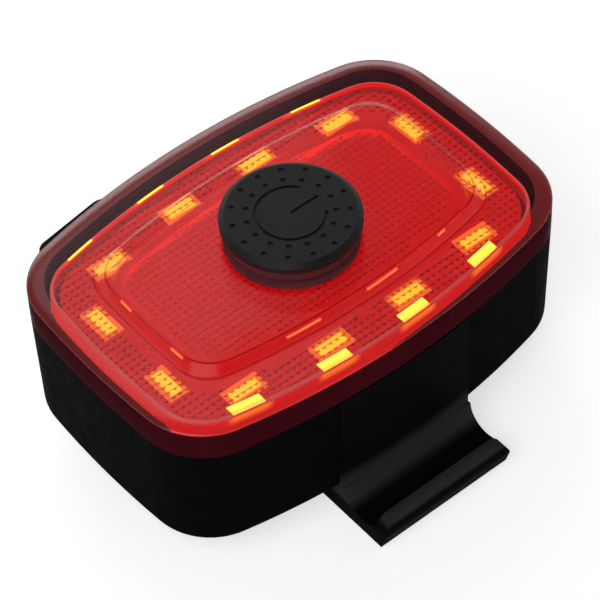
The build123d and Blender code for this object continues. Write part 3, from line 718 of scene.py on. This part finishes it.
def lattice_face(b, outer, hole, height, facet, outer_limit, hole_limit):
    """A level face seen from below, with a lattice of four-sided pits in it.

    outer and hole are index lists of rings that are already in the builder. The pits stay
    between the two limits. facet is the material of each pit's far side, a darker tint: painted
    shade.
    """
    points = []
    index = []
    edges = []
    for loop in (outer, hole):
        start = len(points)
        points += [Vector((b.points[i].x, b.points[i].y)) for i in loop]
        index += loop
        edges += [(start + i, start + (i + 1) % len(loop)) for i in range(len(loop))]
    grid = {}
    fits = {}
    pits = set()
    half = LATTICE_PITCH / 2
    across = int(HALF_LENGTH / LATTICE_PITCH) + 1
    up = int(HALF_WIDTH / LATTICE_PITCH) + 1

    def same(x, y):
        return round(x, SAME_POINT_DIGITS), round(y, SAME_POINT_DIGITS)

    def fit(x, y):
        key = same(x, y)
        if key not in fits:
            fits[key] = inside((x, y), outer_limit) and not inside((x, y), hole_limit)
        return fits[key]

    def corner(x, y, lift):
        key = same(x, y)
        if key not in grid:
            grid[key] = len(points)
            points.append(Vector((x, y)))
            b.points.append(Vector((x, y, height + lift)))
            index.append(len(b.points) - 1)
        return grid[key]

    for i in range(-across, across):
        for j in range(-up, up):
            x = (i + 0.5) * LATTICE_PITCH
            y = (j + 0.5) * LATTICE_PITCH
            corners = [(x + sx * half, y + sy * half) for sx, sy in SQUARE]
            if not all(fit(cx, cy) for cx, cy in corners):
                continue
            pits.add((i, j))
            ids = [corner(cx, cy, 0) for cx, cy in corners]
            top = corner(x, y, LATTICE_RISE)
            for start, end in zip(ids, ids[1:] + ids[:1]):
                edges.append((start, end))
                edges.append((start, top))
    found, _, triangles, origin, _, _ = delaunay_2d_cdt(points, edges, [], 0, MESH_TOLERANCE)
    outer_loop = pairs([b.points[i] for i in outer])
    hole_loop = pairs([b.points[i] for i in hole])
    names = [index[o[0]] if o else None for o in origin]
    for triangle in triangles:
        middle = sum((found[i] for i in triangle), Vector((0, 0))) / len(triangle)
        if not inside(middle, outer_loop) or inside(middle, hole_loop):
            continue
        if any(names[i] is None for i in triangle):
            continue
        i = floor(middle.x / LATTICE_PITCH)
        j = floor(middle.y / LATTICE_PITCH)
        right = middle.x - (i + 0.5) * LATTICE_PITCH
        ahead = middle.y - (j + 0.5) * LATTICE_PITCH
        far_side = (i, j) in pits and ahead > abs(right)
        b.add_face([names[k] for k in reversed(triangle)], facet if far_side else LENS_CLEAR)


def prism_piece():
    """The lens: smooth outside, pitted with the lattice on its inner side."""
    b = Builder()
    foot = PRISM_ISLAND
    tip = PRISM_ISLAND + PRISM_SLOPE
    ceiling = PRISM_TOP - PRISM_ROOF
    island_ceiling = PRISM_ISLAND_TOP - PRISM_ISLAND_ROOF
    bead = [
        ring(PRISM_INSET - BEAD_PROUD, HOUSING_TOP),
        ring(PRISM_INSET - BEAD_PROUD, HOUSING_TOP + BEAD_HEIGHT),
        ring(PRISM_INSET, HOUSING_TOP + BEAD_TOP),
    ]
    edge = rounded_edge(PRISM_INSET, PRISM_TOP, PRISM_EDGE)
    first, last = b.loft(bead + edge[:EDGE_SIDE_RINGS], LENS_SIDE)
    last = b.extend(last, edge[EDGE_SIDE_RINGS:], LENS_EDGE)
    slope = island_rings(
        foot, tip, PRISM_TOP, PRISM_ISLAND_TOP, PRISM_FOOT_STEPS, PRISM_BROW_STEPS,
    )
    top = [ring(foot - ISLAND_LEAD, PRISM_TOP)] + slope
    top += [circle(STEM_HOLE, height, slope[-1]) for height in (PRISM_ISLAND_TOP, island_ceiling)]
    stem = b.extend(last, top, LENS_CLEAR)
    inner = tip + PRISM_ISLAND_WALL
    island_ring = b.add_ring(ring(inner, island_ceiling, ISLAND_CORNER))
    step_ring = b.add_ring(ring(inner, ceiling, ISLAND_CORNER))
    b.bridge(island_ring, step_ring, LENS_CLEAR)
    wall_inset = PRISM_INSET + PRISM_WALL
    wall_top = b.add_ring(ring(wall_inset, ceiling))
    wall_foot = b.add_ring(ring(wall_inset, HOUSING_TOP))
    b.bridge(wall_top, wall_foot, LENS_INNER)
    b.bridge(wall_foot, first, LENS_SIDE)
    lattice_face(
        b, island_ring, stem, island_ceiling, FACET_FAINT_PAINTED_SHADE,
        pairs(ring(inner + LATTICE_MARGIN, 0, ISLAND_CORNER)),
        pairs(circle(STEM_HOLE + LATTICE_MARGIN, 0)),
    )
    lattice_face(
        b, wall_top, step_ring, ceiling, FACET_PAINTED_SHADE,
        pairs(ring(wall_inset + LATTICE_MARGIN, 0)),
        pairs(ring(LATTICE_STOP, 0, ISLAND_CORNER)),
    )
    lens = b.make("prism_piece", LENS_MATERIALS, PRISM_SMOOTH_ANGLE)
    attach(lens, "light")
    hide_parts("prism_lens")


prism_piece()

# LEDs, in millimetres

LED_LENGTH = 5.7
LED_WIDTH = 3.0
LED_RIM = 0.6
LED_BEVEL = 0.05
LED_WELL = 0.12
LED_INNER_X = 6.6
LED_OUTER_X = 19.9
LED_SHORT_Y = 6.9
LED_XS = (-LED_OUTER_X, -LED_INNER_X, LED_INNER_X, LED_OUTER_X)
LED_YS = (-LED_SHORT_Y, LED_SHORT_Y)
LED_LONG_INSET = 7.3
LED_SHORT_INSET = 7.0
LED_MATERIALS = [led_frame, led_light]
LED_FRAME, LED_LIGHT = range(len(LED_MATERIALS))


def side_y(x, inset):
    """Y of the long wall at x, set in from the outline."""
    return HALF_WIDTH - LONG_SIDE_RADIUS + sqrt((LONG_SIDE_RADIUS - inset) ** 2 - x**2)


def side_x(y, inset):
    """X of the short wall at y, set in from the outline."""
    return HALF_LENGTH - SHORT_SIDE_RADIUS + sqrt((SHORT_SIDE_RADIUS - inset) ** 2 - y**2)


def led_places():
    """Centre and quarter turns of each LED."""
    places = []
    for x in LED_XS:
        places += [(x, side_y(x, LED_LONG_INSET), 0), (x, -side_y(x, LED_LONG_INSET), 0)]
    for y in LED_YS:
        places += [(side_x(y, LED_SHORT_INSET), y, 1), (-side_x(y, LED_SHORT_INSET), y, 1)]
    return places


def led_rings(cx, cy, turned, steps):
    """Rectangular rings round an LED's centre, at steps of inset and height."""
    rings = []
    for inset, height in steps:
        half_x = LED_LENGTH / 2 - inset
        half_y = LED_WIDTH / 2 - inset
        if turned:
            half_x, half_y = half_y, half_x
        rings.append([Vector((cx + sx * half_x, cy + sy * half_y, height)) for sx, sy in SQUARE])
    return rings


def led_packages():
    """Twelve lit packages, each a frame round a brighter window in a shallow well."""
    b = Builder()
    steps = (
        (0, BOARD_TOP), (0, LED_TOP - LED_BEVEL), (LED_BEVEL, LED_TOP), (LED_RIM, LED_TOP),
        (LED_RIM + LED_BEVEL, LED_TOP - LED_WELL),
    )
    for cx, cy, turned in led_places():
        first, last = b.loft(led_rings(cx, cy, turned, steps), LED_FRAME)
        b.add_face(last, LED_LIGHT)
        b.add_face(reversed(first), LED_FRAME)
    packages = b.make("led_packages", LED_MATERIALS)
    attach(packages, "light")
    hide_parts("leds")


led_packages()

# Light windows on the lens's rounded edge, one beside each LED of the long sides

WINDOW_OUTER_INSET = 3.2
WINDOW_PROUD = 0.02
WINDOW_STEPS = 8

# Their widths on the side of negative Y and on the side of positive Y
WINDOW_WIDTHS = {-1: 1.5, 1: 0.35}


def lens_height(inset):
    """Height of the lens's outside at an inset, round its edge and on its top."""
    if inset >= PRISM_INSET + PRISM_EDGE:
        return PRISM_TOP
    across = PRISM_INSET + PRISM_EDGE - inset
    return PRISM_TOP - PRISM_EDGE + sqrt(PRISM_EDGE**2 - across**2)


def window_plate(b, side, insets, columns):
    """One closed plate, a grid of points just under the lens's surface and one just over it."""
    grids = []
    for lift in (-WINDOW_PROUD, WINDOW_PROUD):
        grids.append(len(b.points))
        for inset in insets:
            for x in columns:
                b.points.append(Vector((x, side * side_y(x, inset), lens_height(inset) + lift)))
    width = WINDOW_STEPS + 1
    for i in range(WINDOW_STEPS):
        for j in range(WINDOW_STEPS):
            for start, turned in ((grids[0], side > 0), (grids[1], side < 0)):
                a = start + i * width + j
                quad = (a, a + 1, a + width + 1, a + width)
                b.add_face(quad if turned else reversed(quad))
    border = list(range(width))
    border += [i * width + WINDOW_STEPS for i in range(1, width)]
    border += [WINDOW_STEPS * width + j for j in range(WINDOW_STEPS - 1, -1, -1)]
    border += [i * width for i in range(WINDOW_STEPS - 1, 0, -1)]
    low = [grids[0] + k for k in border]
    high = [grids[1] + k for k in border]
    if side > 0:
        low, high = high, low
    b.bridge(low, high)


def light_windows():
    """Thin lit plates that follow the lens's edge along the long sides."""
    b = Builder()
    shares = [i / WINDOW_STEPS for i in range(WINDOW_STEPS + 1)]
    for side, depth in WINDOW_WIDTHS.items():
        insets = [WINDOW_OUTER_INSET + depth * share for share in shares]
        for led_x in LED_XS:
            middle = led_x + WINDOW_SHIFT
            columns = [middle + WINDOW_LENGTH * (share - 0.5) for share in shares]
            window_plate(b, side, insets, columns)
    windows = b.make("light_windows", [window_light])
    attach(windows, "light")


light_windows()

# Light slivers on the slope of the lens's island, one beside each LED

SLIVER_LENGTH = 5.4
SLIVER_DEPTH = 0.08

# The shares of the slope's rise where they start and end, and where the island's sides are straight
SLIVER_LOW = 0.52
SLIVER_HIGH = 0.74
ISLAND_FLAT_X = 16.5
ISLAND_FLAT_Y = 6.5

# Faces of a sliver by its corners: 0 to 3 where a stretch starts and 4 to 7 where it ends
SLIVER_SIDES = ((0, 4, 6, 2), (1, 3, 7, 5), (0, 1, 5, 4), (2, 6, 7, 3))
SLIVER_START = (0, 2, 3, 1)
SLIVER_END = (0, 1, 3, 2)


def slope_point(x, y, sign_x, sign_y, share):
    """A point of the island's slope on a long or a short side, at a share of its rise."""
    inset = PRISM_ISLAND + PRISM_SLOPE * share
    height = PRISM_TOP + (PRISM_ISLAND_TOP - PRISM_TOP) * share
    if sign_y:
        return Vector((x, sign_y * side_y(x, inset), height + WINDOW_PROUD))
    return Vector((sign_x * side_x(y, inset), y, height + WINDOW_PROUD))


def sliver_run(middle, limit):
    """Start and end of a sliver about its middle, kept on the island's straight part."""
    return max(middle - SLIVER_LENGTH / 2, -limit), min(middle + SLIVER_LENGTH / 2, limit)


def light_slivers():
    """Thin lit strips on the island's slope."""
    b = Builder()
    runs = []
    for sign_y in (-1, 1):
        runs += [(*sliver_run(x + WINDOW_SHIFT, ISLAND_FLAT_X), 0, sign_y) for x in LED_XS]
    for sign_x in (-1, 1):
        runs += [(*sliver_run(y, ISLAND_FLAT_Y), sign_x, 0) for y in LED_YS]
    for low, high, sign_x, sign_y in runs:
        if low >= high:
            continue
        start = len(b.points)
        for i in range(WINDOW_STEPS + 1):
            at = low + (high - low) * i / WINDOW_STEPS
            for share in (SLIVER_LOW, SLIVER_HIGH):
                point = slope_point(at, at, sign_x, sign_y, share)
                b.points += [point, point - Vector((0, 0, SLIVER_DEPTH))]
        section = len(SLIVER_START)
        for i in range(WINDOW_STEPS):
            for quad in SLIVER_SIDES:
                b.add_face([start + section * i + k for k in quad])
        b.add_face([start + k for k in SLIVER_START])
        b.add_face([start + section * WINDOW_STEPS + k for k in SLIVER_END])
    slivers = b.make("light_slivers", [sliver_light])
    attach(slivers, "light")


light_slivers()

# Floor and world

# Half the floor's side in metres, its height in millimetres, and its finish
FLOOR_HALF = 1.5
FLOOR_Z = -0.02
FLOOR_GREY = 0.85
FLOOR_ROUGHNESS = 0.9
FLOOR_GLOW = 0.6

# The world's light near the horizon and overhead, and the Z of the directions where each begins
HORIZON_GLOW = 1.0
ZENITH_GLOW = 0.07
HORIZON_Z = 0.15
ZENITH_Z = 0.6


def seen(nt):
    """1 for rays from the camera and for those that pass through clear plastic, else 0."""
    path = node(nt, "ShaderNodeLightPath")
    return maths(nt, "MAXIMUM", path.outputs["Is Camera Ray"], path.outputs["Is Transmission Ray"])


def floor_piece():
    """A pale floor, white to the camera apart from the object's shadow."""
    b = Builder()
    half = FLOOR_HALF / mm
    b.add_face(b.add_ring([(sx * half, sy * half, FLOOR_Z) for sx, sy in SQUARE]))
    material, nt, shader = tree("floor")
    fill(shader, Base_Color=(FLOOR_GREY, FLOOR_GREY, FLOOR_GREY, 1), Roughness=FLOOR_ROUGHNESS)
    fill(shader, Specular_IOR_Level=0.0, Emission_Color=(1, 1, 1, 1))
    glow = maths(nt, "MULTIPLY", seen(nt), FLOOR_GLOW)
    nt.links.new(glow, shader.inputs["Emission Strength"])
    thing = b.make("floor", [material])


floor_piece()


def studio_world():
    """White to the camera, plain light on the object, and a paler horizon in reflections."""
    world = bpy.data.worlds.new("studio")
    bpy.context.scene.world = world
    world.use_nodes = True
    nt = world.node_tree
    background = nt.nodes["Background"]
    background.inputs["Color"].default_value = (1, 1, 1, 1)
    coords = node(nt, "ShaderNodeTexCoord")
    parts = node(nt, "ShaderNodeSeparateXYZ")
    nt.links.new(coords.outputs["Generated"], parts.inputs[0])
    sky = spread(nt, parts.outputs["Z"], HORIZON_GLOW, ZENITH_GLOW, HORIZON_Z, ZENITH_Z)
    nt.links.new(maths(nt, "MAXIMUM", seen(nt), sky), background.inputs["Strength"])


studio_world()

# Lamps, in metres and watts, and the places that they face

MIDDLE = (0, 0, 0.02)
TOP = (0, 0, 0.028)


def lamp(name, position, target, size, power):
    """A white rectangular area lamp that faces a target."""
    data = bpy.data.lights.new(name, "AREA")
    data.shape = "RECTANGLE"
    data.size, data.size_y = size
    data.energy = power
    thing = bpy.data.objects.new(name, data)
    bpy.context.scene.collection.objects.link(thing)
    thing.location = position
    thing.rotation_mode = "QUATERNION"
    thing.rotation_quaternion = (Vector(target) - Vector(position)).to_track_quat("-Z", "Y")


lamp("key", position=(-0.45, -0.2, 0.55), target=MIDDLE, size=(0.6, 0.6), power=2.0)
lamp("glare", position=(0.16, 0.45, 0.63), target=TOP, size=(0.36, 0.34), power=0.35)
lamp("far", position=(0.28, 0.62, 0.31), target=TOP, size=(0.75, 0.18), power=1.2)

# The photograph's camera: angles in degrees, distance and target in millimetres
CAMERA_AZIMUTH = -37.86
CAMERA_ELEVATION = 49.08
CAMERA_ROLL = -2.556
CAMERA_DISTANCE = 391.2
CAMERA_TARGET = (-6.45, -9.455, COVER_TOP)
PHOTO_WIDTH_PX = 600
FOCAL_PX = 2997.5
SENSOR_MM = 36.0


def camera():
    """The photograph's camera."""
    a = radians(CAMERA_AZIMUTH)
    e = radians(CAMERA_ELEVATION)
    r = radians(CAMERA_ROLL)
    back = Vector((sin(a) * cos(e), -cos(a) * cos(e), sin(e)))
    right = Vector((cos(a), sin(a), 0))
    up = back.cross(right)
    rolled_right = right * cos(r) + up * sin(r)
    rolled_up = up * cos(r) - right * sin(r)
    data = bpy.data.cameras.new("camera")
    data.sensor_width = SENSOR_MM
    data.lens = FOCAL_PX / PHOTO_WIDTH_PX * SENSOR_MM
    thing = bpy.data.objects.new("camera", data)
    bpy.context.scene.collection.objects.link(thing)
    position = (Vector(CAMERA_TARGET) + back * CAMERA_DISTANCE) * mm
    turn = Matrix((rolled_right, rolled_up, back)).transposed()
    thing.matrix_world = Matrix.Translation(position) @ turn.to_4x4()
    bpy.context.scene.camera = thing


camera()
bpy.context.scene.view_settings.view_transform = "Standard"
